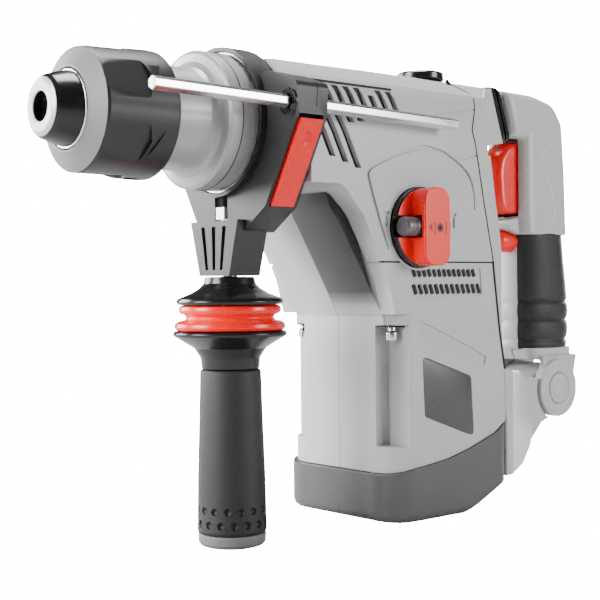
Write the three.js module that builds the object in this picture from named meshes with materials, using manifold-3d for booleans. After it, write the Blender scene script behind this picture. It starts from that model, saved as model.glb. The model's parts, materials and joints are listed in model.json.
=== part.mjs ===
// Rotary hammer with a vertical motor, a D-handle and a clamp-on side handle.
// Millimetres, +Z up. The nose points along -X and the side handle hangs along -Z.
// The origin is the centre of the flat underside of the motor base.
import * as THREE from 'three';
import { mergeVertices } from 'three/addons/utils/BufferGeometryUtils.js';
import Module from 'manifold-3d';

const wasm = await Module();
wasm.setup();

// ---- driving dimensions ----
const SPINDLE_Z = 211;
const HANDLE_X = -120;
const GAP = 0.3;
const WALL = 3;
const SEAM_Z = 139.7;
const BODY_HALF = 46.5;
const BODY_FRONT = -104;
const BROW_FRONT = -114;
const BROW_RADIUS = 46.8;
const FACE_X = -228;
const CORNER = 18;
const BASE_EDGE = 5;

const MOTOR_X = -4;
const GEAR_MODULE = 1;
const PINION_TEETH = 8;
const CRANK_TEETH = 28;
const MIDDLE_TEETH = 54;
const BEVEL_TEETH = 9;
const RING_TEETH = 36;
const BEVEL_RADIUS = 6.75;
const CRANK_X = MOTOR_X + GEAR_MODULE * (PINION_TEETH + CRANK_TEETH) / 2;
const MIDDLE_X = MOTOR_X - GEAR_MODULE * (PINION_TEETH + MIDDLE_TEETH) / 2;
const CRANK_THROW = 8;
const ROD_LENGTH = 77;
const GEAR_Z = 166;

const ROD_Y = -54.5;
const ROD_TILT = THREE.MathUtils.degToRad(1.1);
const ROD_CENTRE = new THREE.Vector3(-105.5, ROD_Y, 215.4);
const KNOB_X = -28.6;
const KNOB_Z = 158;
const PIVOT_X = 123;
const PIVOT_Z = 61.5;
const HANDLE_HALF = 17;
const HANDLE_EDGE = 6;
const STUB_LOW = 76;
const STUB_TOP = 64.5;
const CAP_X = 22;
const CAP_RADIUS = 14;
const NOTCH_X = -34.7;
const NOTCH_Y = 29;
const SCREW_X = -39;
const SCREW_Y = 36;

// Side vents: the top end of each slot and its bottom end, from front to rear.
const VENT_X = -108;
const VENT_STEP = 7.55;
const VENT_LEAN = 0.5;
const VENT_WIDTH = 4.4;
const VENT_TOP = 229;
const VENT_ENDS = [
  [229, 192.5], [229, 190], [229, 187.5], [229, 210.5], [229, 211.5], [229, 213], [225.8, 214], [229, 215],
  [229, 216.5],
];

// ---- materials ----
function finish(color, roughness, metalness = 0) {
  return new THREE.MeshStandardMaterial({ color, roughness, metalness });
}
const SHELL = finish(0xb9bbbd, 0.45);
const DARK = finish(0x3a3c3e, 0.5);
const BLACK = finish(0x141516, 0.35);
const RED = finish(0xe8301c, 0.3);
const RUBBER = finish(0x37393b, 0.8);
const STEEL = finish(0xb4b7ba, 0.25, 1);
const GEARS = finish(0x777a7d, 0.35, 1);
const ALLOY = finish(0x9a9da0, 0.45, 1);
const COPPER = finish(0xb87333, 0.35, 1);
const CARBON = finish(0x242426, 0.9);

// ---- shape helpers ----
const AXES = {
  x: new THREE.Matrix4().makeBasis(unit(0, 1, 0), unit(0, 0, 1), unit(1, 0, 0)),
  y: new THREE.Matrix4().makeBasis(unit(1, 0, 0), unit(0, 0, 1), unit(0, -1, 0)),
  z: new THREE.Matrix4(),
};

function unit(x, y, z) {
  return new THREE.Vector3(x, y, z);
}

// Turns a closed three.js geometry into a solid that can be cut and joined.
function solid(geometry) {
  const bare = geometry.clone();
  bare.deleteAttribute('normal');
  bare.deleteAttribute('uv');
  const merged = mergeVertices(bare, 1e-4);
  const index = merged.index.array;
  const triangles = [];
  for (let i = 0; i < index.length; i += 3) {
    const [a, b, c] = [index[i], index[i + 1], index[i + 2]];
    if (a !== b && b !== c && c !== a) triangles.push(a, b, c);
  }
  const build = (list) => new wasm.Manifold(new wasm.Mesh({
    numProp: 3,
    vertProperties: new Float32Array(merged.attributes.position.array),
    triVerts: new Uint32Array(list),
  }));
  const made = build(triangles);
  return made.volume() > 0 ? made : build(triangles.reverse());
}

// Corners are [x, y] or [x, y, radius]; a radius rounds that corner.
function outline(corners, steps = 3) {
  const path = [];
  corners.forEach(([x, y, radius = 0], i) => {
    const corner = new THREE.Vector2(x, y);
    if (radius === 0) {
      path.push(corner);
      return;
    }
    const before = new THREE.Vector2(...corners.at(i - 1)).sub(corner).normalize();
    const after = new THREE.Vector2(...corners[(i + 1) % corners.length]).sub(corner).normalize();
    const reach = radius / Math.tan(Math.acos(before.dot(after)) / 2);
    const start = corner.clone().addScaledVector(before, reach);
    const end = corner.clone().addScaledVector(after, reach);
    path.push(...new THREE.QuadraticBezierCurve(start, corner, end).getPoints(steps));
  });
  return path;
}

// Moves every side of a closed outline inwards by a distance.
function inset(path, distance) {
  const turn = THREE.ShapeUtils.area(path) > 0 ? 1 : -1;
  return path.map((point, i) => {
    const before = point.clone().sub(path.at(i - 1)).normalize();
    const after = path[(i + 1) % path.length].clone().sub(point).normalize();
    const normal = new THREE.Vector2(-before.y - after.y, before.x + after.x).normalize();
    const lean = Math.max(0.5, normal.dot(new THREE.Vector2(-before.y, before.x)));
    return point.clone().addScaledVector(normal, turn * distance / lean);
  });
}

// A closed outline pushed along an axis. Outlines lie in YZ for x, XZ for y and XY for z.
function slab(axis, path, low, high) {
  const geometry = new THREE.ExtrudeGeometry(new THREE.Shape(path), { depth: high - low, bevelEnabled: false });
  geometry.translate(0, 0, axis === 'y' ? -high : low);
  return solid(geometry.applyMatrix4(AXES[axis]));
}

// The same with the rims of both faces rounded off.
function softSlab(axis, path, low, high, radius) {
  const geometry = new THREE.ExtrudeGeometry(new THREE.Shape(inset(path, radius)), {
    depth: high - low - 2 * radius, bevelThickness: radius, bevelSize: radius, bevelSegments: 3,
  });
  geometry.translate(0, 0, (axis === 'y' ? -high : low) + radius);
  return solid(geometry.applyMatrix4(AXES[axis]));
}

function box(low, high) {
  const size = high.map((value, i) => value - low[i]);
  const geometry = new THREE.BoxGeometry(...size);
  geometry.translate(...low.map((value, i) => value + size[i] / 2));
  return solid(geometry);
}

// A profile of [along, radius] points turned round an axis through a centre.
function turned(axis, profile, centre, sides = 20) {
  const points = profile.map(([along, radius]) => new THREE.Vector2(radius, along));
  if (points[0].x > 0) points.push(points[0].clone());
  const geometry = new THREE.LatheGeometry(points, sides);
  if (axis === 'x') geometry.rotateZ(-Math.PI / 2);
  if (axis === 'z') geometry.rotateX(Math.PI / 2);
  return solid(geometry.translate(...centre));
}

function pin(axis, radius, low, high, centre, sides = 16) {
  return turned(axis, [[low, 0], [low, radius], [high, radius], [high, 0]], centre, sides);
}

function ring(axis, inner, outer, low, high, centre, sides = 20) {
  const profile = [[low, inner], [low, outer], [high, outer], [high, inner]];
  return turned(axis, profile, centre, sides);
}

function circle(x, y, radius, sides = 24) {
  return Array.from({ length: sides }, (_, i) => {
    const angle = 2 * Math.PI * i / sides;
    return new THREE.Vector2(x + radius * Math.cos(angle), y + radius * Math.sin(angle));
  });
}

const SPINDLE = [0, 0, SPINDLE_Z];
const model = new THREE.Group();

function add(name, material, body) {
  const mesh = body.getMesh();
  const geometry = new THREE.BufferGeometry();
  geometry.setAttribute('position', new THREE.BufferAttribute(mesh.vertProperties, 3));
  geometry.setIndex(new THREE.BufferAttribute(mesh.triVerts, 1));
  geometry.computeVertexNormals();
  const part = new THREE.Mesh(geometry, material);
  part.name = name;
  model.add(part);
}

// Keeps the half of a body on one side of the centre plane, less half a gap.
function half(body, side) {
  const reach = 400;
  const near = GAP / 2;
  const low = side < 0 ? -reach : near;
  const high = side < 0 ? -near : reach;
  return body.intersect(box([-reach, low, -reach], [reach, high, reach]));
}

// ---- gears ----
// A spur gear's outline with straight-sided teeth, slim enough to run with clearance.
function gearOutline(teeth, phase) {
  const pitch = 2 * Math.PI / teeth;
  const radius = GEAR_MODULE * teeth / 2;
  const root = radius - 1.15 * GEAR_MODULE;
  const tip = radius + 0.75 * GEAR_MODULE;
  const path = [];
  for (let i = 0; i < teeth; i += 1) {
    const angle = phase + i * pitch;
    for (const [r, share] of [[root, -0.27], [tip, -0.11], [tip, 0.11], [root, 0.27]]) {
      const turn = angle + share * pitch;
      path.push(new THREE.Vector2(r * Math.cos(turn), r * Math.sin(turn)));
    }
  }
  return path;
}

function spurGear(teeth, x, low, high, phase) {
  const path = gearOutline(teeth, phase).map((point) => point.add(new THREE.Vector2(x, 0)));
  return slab('z', path, low, high);
}

// A closed body through rings of equal length; the last ring joins the first.
function ringBody(rings) {
  const count = rings[0].length;
  const index = [];
  rings.forEach((_, row) => {
    const next = (row + 1) % rings.length;
    for (let i = 0; i < count; i += 1) {
      const j = (i + 1) % count;
      const [a, b, c, d] = [row * count + i, row * count + j, next * count + i, next * count + j];
      index.push(a, b, c, b, d, c);
    }
  });
  const geometry = new THREE.BufferGeometry();
  const flat = rings.flat().flatMap((point) => point.toArray());
  geometry.setAttribute('position', new THREE.Float32BufferAttribute(flat, 3));
  geometry.setIndex(index);
  return solid(geometry);
}

// A straight bevel gear with its apex at the origin and its axis along +Z.
function bevelGear(teeth, mate, phase, bore, back) {
  const cone = Math.atan2(teeth, mate);
  const length = BEVEL_RADIUS * RING_TEETH / BEVEL_TEETH / Math.cos(Math.atan2(BEVEL_TEETH, RING_TEETH));
  const pitch = 2 * Math.PI / teeth;
  const tooth = [[-0.9, -0.27], [0.7, -0.1], [0.7, 0.1], [-0.9, 0.27]];
  const place = (reach, lift, angle) => {
    const along = reach * Math.cos(cone) - lift * Math.sin(cone);
    const radius = reach * Math.sin(cone) + lift * Math.cos(cone);
    return unit(radius * Math.cos(angle), radius * Math.sin(angle), along);
  };
  const toothRing = (scale) => Array.from({ length: teeth * 4 }, (_, i) => {
    const [lift, share] = tooth[i % 4];
    return place(length * scale, lift * scale, phase + (Math.floor(i / 4) + share) * pitch);
  });
  const outer = toothRing(1);
  const inner = toothRing(0.76);
  const plain = (radius, along) => outer.map((point) => {
    const angle = Math.atan2(point.y, point.x);
    return unit(radius * Math.cos(angle), radius * Math.sin(angle), along);
  });
  const face = inner[0].z;
  const rim = Math.hypot(outer[0].x, outer[0].y);
  return ringBody([outer, inner, plain(bore, face), plain(bore, back), plain(rim, back)]);
}

// ---- motor and gear train ----
function buildDrive() {
  const motor = [MOTOR_X, 0, 0];
  const shaft = pin('z', 4, 22, GEAR_Z - 6, motor)
    .add(spurGear(PINION_TEETH, MOTOR_X, GEAR_Z - 6.5, GEAR_Z + 11, 0));
  add('armature_shaft', STEEL, shaft);
  add('armature_core', GEARS, slottedCore(motor));
  add('commutator', COPPER, ring('z', 4.3, 13, 38, 54, motor));
  add('fan', BLACK, fanWheel(motor));
  add('stator', GEARS, ring('z', 23, 35.5, 64, 118, motor));
  add('upper_bearing', STEEL, ring('z', 4.3, 11, 141.3, 147.3, motor));
  add('lower_bearing', STEEL, ring('z', 4.3, 9.5, 24, 31, motor));
  const plate = slab('z', outline([[-44, -38, 8], [24, -38, 8], [24, 38, 8], [-44, 38, 8]]), 141, 149)
    .subtract(pin('z', 11.3, 140, 147.6, motor))
    .subtract(pin('z', 6, 140, 160, motor))
    .subtract(pin('z', 5.3, 143, 160, [CRANK_X, 0, 0]))
    .subtract(pin('z', 5.3, 143, 160, [MIDDLE_X, 0, 0]));
  add('bearing_plate', ALLOY, plate);
  for (const [name, side] of [['front', -1], ['rear', 1]]) {
    const reach = (from, to) => [MOTOR_X + side * from, MOTOR_X + side * to].sort((a, b) => a - b);
    const [outerLow, outerHigh] = reach(17, 35);
    const [brushLow, brushHigh] = reach(13.5, 28);
    const [holeLow, holeHigh] = reach(16, 33);
    const holder = box([outerLow, -7, 39], [outerHigh, 7, 53])
      .subtract(box([holeLow, -4.3, 41.7], [holeHigh, 4.3, 50.3]));
    add(`brush_holder_${name}`, COPPER, holder);
    add(`carbon_brush_${name}`, CARBON, box([brushLow, -4, 42], [brushHigh, 4, 50]));
  }
  const crankPhase = Math.PI / CRANK_TEETH;
  const crank = spurGear(CRANK_TEETH, CRANK_X, GEAR_Z, GEAR_Z + 8, crankPhase)
    .add(pin('z', 5, 143.5, 192, [CRANK_X, 0, 0]))
    .add(pin('z', 12, 190, 198, [CRANK_X, 0, 0]))
    .add(pin('z', 3.5, 197, SPINDLE_Z - 4.5, [CRANK_X - CRANK_THROW, 0, 0]));
  add('crank_gear', GEARS, crank);
  const apexHeight = BEVEL_RADIUS * RING_TEETH / BEVEL_TEETH;
  const bevel = bevelGear(BEVEL_TEETH, RING_TEETH, Math.PI / BEVEL_TEETH, 2.5, apexHeight + 4)
    .rotate([180, 0, 0]).translate([MIDDLE_X, 0, SPINDLE_Z]);
  const middle = spurGear(MIDDLE_TEETH, MIDDLE_X, GEAR_Z, GEAR_Z + 7, Math.PI / MIDDLE_TEETH)
    .add(pin('z', 5, 143.5, SPINDLE_Z - apexHeight - 2.5, [MIDDLE_X, 0, 0]))
    .add(bevel);
  add('intermediate_gear', GEARS, middle);
  const wheel = bevelGear(RING_TEETH, BEVEL_TEETH, Math.PI / RING_TEETH, 15.3, 14)
    .rotate([0, -90, 0]).translate([MIDDLE_X, 0, SPINDLE_Z]);
  add('bevel_ring', GEARS, wheel);
}

function slottedCore(centre) {
  const slots = 8;
  let core = ring('z', 4.3, 22, 64, 116, centre);
  for (let i = 0; i < slots; i += 1) {
    const angle = 360 * i / slots;
    core = core.subtract(box([15, -1.2, 60], [23, 1.2, 120]).rotate([0, 0, angle]).translate(centre));
  }
  return core;
}

function fanWheel(centre) {
  const blades = 9;
  let wheel = ring('z', 4.3, 33, 122, 124, centre).add(ring('z', 4.3, 9, 122, 134, centre));
  for (let i = 0; i < blades; i += 1) {
    const blade = box([8, -0.8, 123], [32, 0.8, 134]).rotate([0, 0, 360 * i / blades]);
    wheel = wheel.add(blade.translate(centre));
  }
  return wheel;
}

// ---- hammer mechanism and tool holder ----
function buildSpindle() {
  const tube = turned('x', [
    [-221.4, 5.1], [-221.4, 14], [-213.2, 14], [-213.2, 17], [-180, 17], [-180, 15],
    [-40, 15], [-40, 11], [-150, 11], [-150, 7.6], [-162, 7.6], [-162, 5.1],
  ], SPINDLE);
  const balls = 3.8;
  add('spindle_tube', STEEL, tube.subtract(pin('y', balls, -20, 20, [-200, 0, SPINDLE_Z])));
  for (const [name, side] of [['left', -1], ['right', 1]]) {
    const ball = new THREE.SphereGeometry(3.5, 12, 8).translate(-200, side * 7.1, SPINDLE_Z);
    add(`lock_ball_${name}`, STEEL, solid(ball));
  }
  add('dust_cap', BLACK, turned('x', [
    [FACE_X, 6.9], [FACE_X, 12.5], [-226.4, 14.6], [-222, 16.2], [-215, 17.8], [-213.5, 17.8],
    [-213.5, 14.3], [-221.7, 14.3], [-221.7, 6.9],
  ], SPINDLE));
  add('sleeve_spring', STEEL, coil(18.7, 0.8, -197, -184, 3, 10));
  add('striker', STEEL, turned('x', [
    [-124, 0], [-124, 6.5], [-122, 7.5], [-112, 7.5], [-110, 10.7], [-92, 10.7], [-92, 0],
  ], SPINDLE));
  add('impact_bolt', STEEL, turned('x', [
    [-156, 0], [-156, 4], [-155, 7.2], [-143, 7.2], [-142, 10], [-136, 10], [-135, 6], [-128.5, 6], [-128.5, 0],
  ], SPINDLE));
  const wristX = CRANK_X - CRANK_THROW - ROD_LENGTH;
  const wrist = [wristX, 0, SPINDLE_Z];
  const piston = pin('x', 10.7, wristX - 14, wristX + 11, SPINDLE, 32)
    .subtract(box([wristX - 8, -7.5, SPINDLE_Z - 4.6], [wristX + 12, 7.5, SPINDLE_Z + 4.6]))
    .add(pin('z', 2.5, -7, 7, wrist, 16));
  add('piston', ALLOY, piston);
  const crankEye = [CRANK_X - CRANK_THROW, 0, SPINDLE_Z];
  const rod = pin('z', 6, -3.8, 3.8, wrist)
    .add(pin('z', 8, -3.8, 3.8, crankEye))
    .add(box([wristX, -3, SPINDLE_Z - 3], [crankEye[0], 3, SPINDLE_Z + 3]))
    .subtract(pin('z', 2.9, -9, 9, wrist, 16))
    .subtract(pin('z', 3.9, -9, 9, crankEye, 20));
  add('con_rod', ALLOY, rod);
}

// An open coil of round wire round the spindle axis.
function coil(radius, wire, low, high, turns, facets) {
  const points = Array.from({ length: turns * facets + 1 }, (_, i) => {
    const angle = 2 * Math.PI * i / facets;
    const along = low + (high - low) * i / (turns * facets);
    return unit(along, radius * Math.cos(angle), SPINDLE_Z + radius * Math.sin(angle));
  });
  const section = new THREE.Shape(circle(0, 0, wire, 5));
  const path = new THREE.CatmullRomCurve3(points);
  return solid(new THREE.ExtrudeGeometry(section, { steps: turns * facets, extrudePath: path }));
}

function buildSleeve() {
  let sleeve = turned('x', [
    [-214.5, 18.4], [-214.5, 19], [-209.7, 29], [-208.5, 30], [-190, 31], [-173, 31.5], [-170.6, 30.6],
    [-170, 28.6], [-170, 26.5], [-184, 26.5], [-184, 20.5], [-210, 20.5], [-210, 18.4],
  ], SPINDLE, 24);
  const panels = 6;
  for (let i = 0; i < panels; i += 1) {
    const cut = box([-212, -9, 28.6], [-187, 9, 40]).rotate([360 * (i + 0.5) / panels, 0, 0]);
    sleeve = sleeve.subtract(cut.translate(SPINDLE));
  }
  add('locking_sleeve', DARK, sleeve);
}

function buildNose() {
  add('nose_housing', ALLOY, turned('x', [
    [-172, 22.4], [-172, 25], [-171.5, 25.5], [-148, 25.5], [-145, 29], [-143.8, 34], [-143, 34.8],
    [-130, 34.8], [-129.3, 33.8], [-95, 33.8], [-95, 29], [-132, 29], [-132, 22.4],
  ], SPINDLE, 24));
  add('spindle_bearing', STEEL, ring('x', 15.3, 22.1, -166, -150, SPINDLE));
}

// ---- housing ----
const REAR_SEAM = [[5.7, 251], [14, 243], [22.7, 235], [15.7, 213], [23.7, 175], [31.7, SEAM_Z]];
const TOP_LINE = [[BROW_FRONT, 242], [-104, 244], [-71, 244.5], [-42, 246]];
const UNDER_LINE = [[-55.7, SEAM_Z], [-59, 146], [-69, 164, 8], [-83, 179, 8], [BODY_FRONT, 179], [BODY_FRONT, 200], [BROW_FRONT, 200]];
const BASE_LINE = [[-60, 25.6], [-46, 26], [-33, 29], [-7, 32], [10, 36], [32, 43], [44, 50.5]];

function section(extra = 0) {
  const side = BODY_HALF + extra;
  return outline([
    [-side, 0], [side, 0], [side, 205], [side - 2.5, 226], [side - 5.5, 233], [29, 240.5, 10], [0, 249, 30],
    [-29, 240.5, 10], [5.5 - side, 233], [2.5 - side, 226], [-side, 205],
  ]);
}

function upperSide() {
  return outline([...TOP_LINE, [4, 249], ...REAR_SEAM, ...UNDER_LINE]);
}

function upperShell() {
  const side = upperSide();
  const brow = pin('x', BROW_RADIUS, BROW_FRONT - 1, BODY_FRONT + 0.1, SPINDLE, 48)
    .add(box([BODY_FRONT, -60, 100], [60, 60, 260]));
  const whole = slab('y', side, -60, 60).intersect(slab('x', section(), -120, 60)).intersect(brow);
  const hollow = slab('y', inset(side, WALL), -60, 60)
    .intersect(slab('x', inset(section(), WALL), BODY_FRONT + WALL, 60));
  let shell = whole.subtract(hollow)
    .subtract(pin('x', 34.2, BROW_FRONT - 1, -90, SPINDLE, 40))
    .subtract(box([-52, -BODY_HALF + WALL, 130], [60, BODY_HALF - WALL, 150]))
    .subtract(box([0, -38, 150], [60, 38, 232]))
    .subtract(box([0, -24, 150], [60, 24, 239]))
    .subtract(pin('z', CAP_RADIUS + GAP, 246.8, 260, [CAP_X, 0, 0]));
  VENT_ENDS.forEach(([top, bottom], i) => {
    const [high, low] = [VENT_X + VENT_STEP * i, VENT_X + VENT_STEP * i + VENT_LEAN * (VENT_TOP - bottom)];
    const start = high + VENT_LEAN * (VENT_TOP - top);
    const reach = VENT_WIDTH / 2;
    const slot = outline([[start - reach, top], [start + reach, top], [low + reach, bottom], [low - reach, bottom]]);
    shell = shell.subtract(slab('y', slot, -60, -30)).subtract(slab('y', slot, 30, 60));
  });
  return shell;
}

function motorShell() {
  const side = outline([
    [31.4, SEAM_Z - GAP], [37, 101], [41, 80], [41.5, 49.5], [32, 43.3], [10, 36.3], [-7, 32.3], [-33, 29.3],
    [-46, 26.3], [-46, 112, 6], [-51, 130], [-55.4, SEAM_Z - GAP],
  ]);
  const plan = outline([[-44.5, -46, CORNER], [60, -46], [60, 46], [-44.5, 46, CORNER]], 5);
  const wide = outline([[-80, -46], [60, -46], [60, 46], [-80, 46]]);
  const lower = slab('y', side, -60, 60).intersect(slab('z', plan, 0, 112));
  const upper = slab('y', side, -60, 60).intersect(slab('z', wide, 112, 150));
  const neckLine = outline([
    [-81, 178.6], [-79, 168], [-62, 140], [-44.5, 110], [-44.5, 95], [-38, 95], [-38, 110], [-50.8, 130.5],
    [-55.4, 140], [-58.7, 146.5], [-69, 165], [-79, 176.5],
  ]);
  const neckPlan = outline([[-84, -33, 12], [0, -38], [0, 38], [-84, 33, 12]]);
  const neck = slab('y', neckLine, -38, 38).intersect(slab('z', neckPlan, 60, 200))
    .subtract(slab('y', inset(upperSide(), -GAP), -60, 60));
  const hollow = slab('z', inset(plan, WALL), 10, 200).subtract(box([37, -60, 0], [80, 60, 300]));
  const chamber = slab('z', outline([[-49, -40], [40, -40], [40, 40], [-49, 40]]), 128, 200);
  let shell = lower.add(upper).subtract(hollow).subtract(chamber).add(neck);
  for (const side of [-1, 1]) {
    const across = (from, to) => [side * from, side * to].sort((a, b) => a - b);
    const [wallLow, wallHigh] = across(NOTCH_Y - WALL, 46 - WALL / 2);
    const [notchLow, notchHigh] = across(NOTCH_Y, 60);
    const lining = box([-42, wallLow, 38], [NOTCH_X + WALL, wallHigh, 109]).intersect(slab('z', plan, 30, 110));
    shell = shell.add(lining).subtract(box([-60, notchLow, 41], [NOTCH_X, notchHigh, 106]));
  }
  return shell.subtract(pin('z', 36.2, 60, 136, [MOTOR_X, 0, 0]));
}

function buildHousing() {
  const upper = upperShell();
  const knobHole = pin('y', 21.7, -60, -30, [KNOB_X, 0, KNOB_Z], 32);
  add('upper_shell_left', SHELL, half(upper, -1).subtract(knobHole));
  add('upper_shell_right', SHELL, half(upper, 1));
  const motor = motorShell();
  add('motor_shell_left', SHELL, half(motor, -1).subtract(knobHole));
  add('motor_shell_right', SHELL, half(motor, 1));
  const capSide = outline([[-60, 0], [6, 0], [44, 17], ...BASE_LINE.slice().reverse()]);
  const capPlan = outline([[-47.5, -47.5, CORNER + 2], [43, -47.5, 8], [43, 47.5, 8], [-47.5, 47.5, CORNER + 2]], 5);
  const capInner = slab('z', inset(capPlan, WALL), WALL, 80)
    .intersect(slab('y', outline([[-60, WALL], [6, WALL], [44, 20], [60, 20], [60, 90], [-60, 90]]), -60, 60));
  const cap = slab('y', capSide, -60, 60).intersect(softSlab('z', capPlan, 0, 90, BASE_EDGE)).subtract(capInner)
    .subtract(slab('z', inset(capPlan, 1.2), 24, 80).intersect(box([41, -60, 24], [60, 60, 80])));
  add('base_cap', DARK, cap.add(ring('z', 9.9, 12.5, 2, 31, [MOTOR_X, 0, 0])));
  add('rear_cover', SHELL, rearCover());
  add('lower_arm', SHELL, lowerArm());
  const capDisc = turned('z', [[247.1, 0], [247.1, CAP_RADIUS], [250.5, CAP_RADIUS], [251.5, 13], [251.5, 0]], [CAP_X, 0, 0])
    .subtract(pin('z', 1.5, 249, 260, [CAP_X - 7, 0, 0], 12))
    .subtract(pin('z', 1.5, 249, 260, [CAP_X + 7, 0, 0], 12));
  add('grease_cap', BLACK, capDisc);
  for (const [name, side] of [['left', -1], ['right', 1]]) {
    add(`housing_screw_${name}`, STEEL, turned('z', [
      [98, 0], [98, 3.2], [102, 3.2], [103, 2.2], [105.7, 2.2], [105.7, 0],
    ], [SCREW_X, side * SCREW_Y, 0], 16).subtract(box([SCREW_X - 2, side * SCREW_Y - 0.5, 90],
      [SCREW_X + 2, side * SCREW_Y + 0.5, 99])));
  }
  add('cable_gland', BLACK, turned('z', [
    [17, 4], [17, 6.2], [20, 6.6], [24, 7], [36, 7], [36, 4],
  ], [79, 0, 0], 20));
  add('handle_bellows', BLACK, bellows());
}

function rearCover() {
  const front = [[6.3, 251.3], [14.5, 243.3], [23.4, 235.2], [16.2, 213], [24.2, 175], [32.2, SEAM_Z]];
  const top = outline([...front.slice(0, 4), [20, 194], [31, 198, 4], [40, 206, 5], [STUB_LOW, 212.5], [STUB_TOP, 247.3], [40, 250]]);
  const lower = outline([[20, 194], [24.2, 175], [32.2, SEAM_Z], [37.4, 101], [41.8, 79], [49, 79], [46.5, 101],
    [41.5, 140], [35, 175], [31, 200]]);
  const topPlan = outline([[0, -50], [26, -50], [34, -38, 8], [60, -17], [80, -17], [80, 17], [60, 17], [34, 38, 8],
    [26, 50], [0, 50]]);
  const lowPlan = outline([[0, -46], [40, -46, 8], [49, -38, 12], [49, 38, 12], [40, 46, 8], [0, 46]]);
  const chamber = outline([[0, 84], [44, 84], [42.5, 101], [37.6, 140], [31.8, 173], [28, 197], [0, 197]]);
  const head = slab('y', top, -60, 60).intersect(slab('z', topPlan, 180, 260));
  const panel = slab('y', lower, -60, 60).intersect(slab('z', lowPlan, 60, 210));
  return head.add(panel).intersect(slab('x', section(-0.8), 0, 80))
    .subtract(box([26, -12, 224], [90, 12, 240]))
    .subtract(box([0, -30, 196], [28, 30, 236]))
    .subtract(box([20, -18, SPINDLE_Z - 6], [32, 18, SPINDLE_Z + 6]))
    .subtract(slab('y', chamber, -33, 33))
    .subtract(pin('z', CAP_RADIUS + GAP, 246.8, 260, [CAP_X, 0, 0]));
}

function lowerArm() {
  const side = outline([
    [43.4, 17], [75, 19, 12], [93, 27, 10], [108, 41], [123, 45.5], [134.5, 50], [139, PIVOT_Z], [134.5, 73], [123, 77.5],
    [110, 72], [96, 64.5, 8], [84, 70, 6], [70, 76], [42.2, 78.6], [41.8, 53.5],
    [43.4, 51],
  ]);
  const plan = outline([[41, -46, 4], [50, -45], [72, -33, 12], [98, -20, 8], [141, -20], [141, 20], [98, 20, 8],
    [72, 33, 12], [50, 45], [41, 46, 4]]);
  let arm = slab('y', side, -60, 60).intersect(slab('z', plan, 0, 90));
  for (const side of [-1, 1]) {
    const [low, high] = side < 0 ? [-40, -14.7] : [14.7, 40];
    arm = arm.subtract(pin('y', 19.4, low, high, [PIVOT_X, 0, PIVOT_Z], 32));
  }
  return arm.subtract(pin('y', 5.3, -40, 40, [PIVOT_X, 0, PIVOT_Z]))
    .subtract(pin('z', 7.3, 0, 40, [79, 0, 0], 20))
    .subtract(box([30, -34, 8], [60, 34, 70]).intersect(slab('y', inset(side, 4), -60, 60)))
    .subtract(box([30, -34, 22], [46, 34, 70]));
}

function bellows() {
  const leaning = (start, end) => outline([
    [STUB_TOP + start, 247.3], [STUB_LOW + start, 212.5], [STUB_LOW + end, 212.5], [STUB_TOP + end, 247.3],
  ]);
  const trim = (margin) => box([50, margin - 18.5, 212.5 + margin], [100, 18.5 - margin, 247 - margin]);
  const ribs = 2;
  let folds = slab('y', leaning(GAP, 7), -30, 30).intersect(trim(2.5));
  for (let i = 0; i < ribs; i += 1) {
    const start = 1.2 + 3.2 * i;
    folds = folds.add(slab('y', leaning(start, start + 1.6), -30, 30).intersect(trim(0.5)));
  }
  return folds.subtract(box([50, -11, 226], [100, 11, 238]));
}

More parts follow.
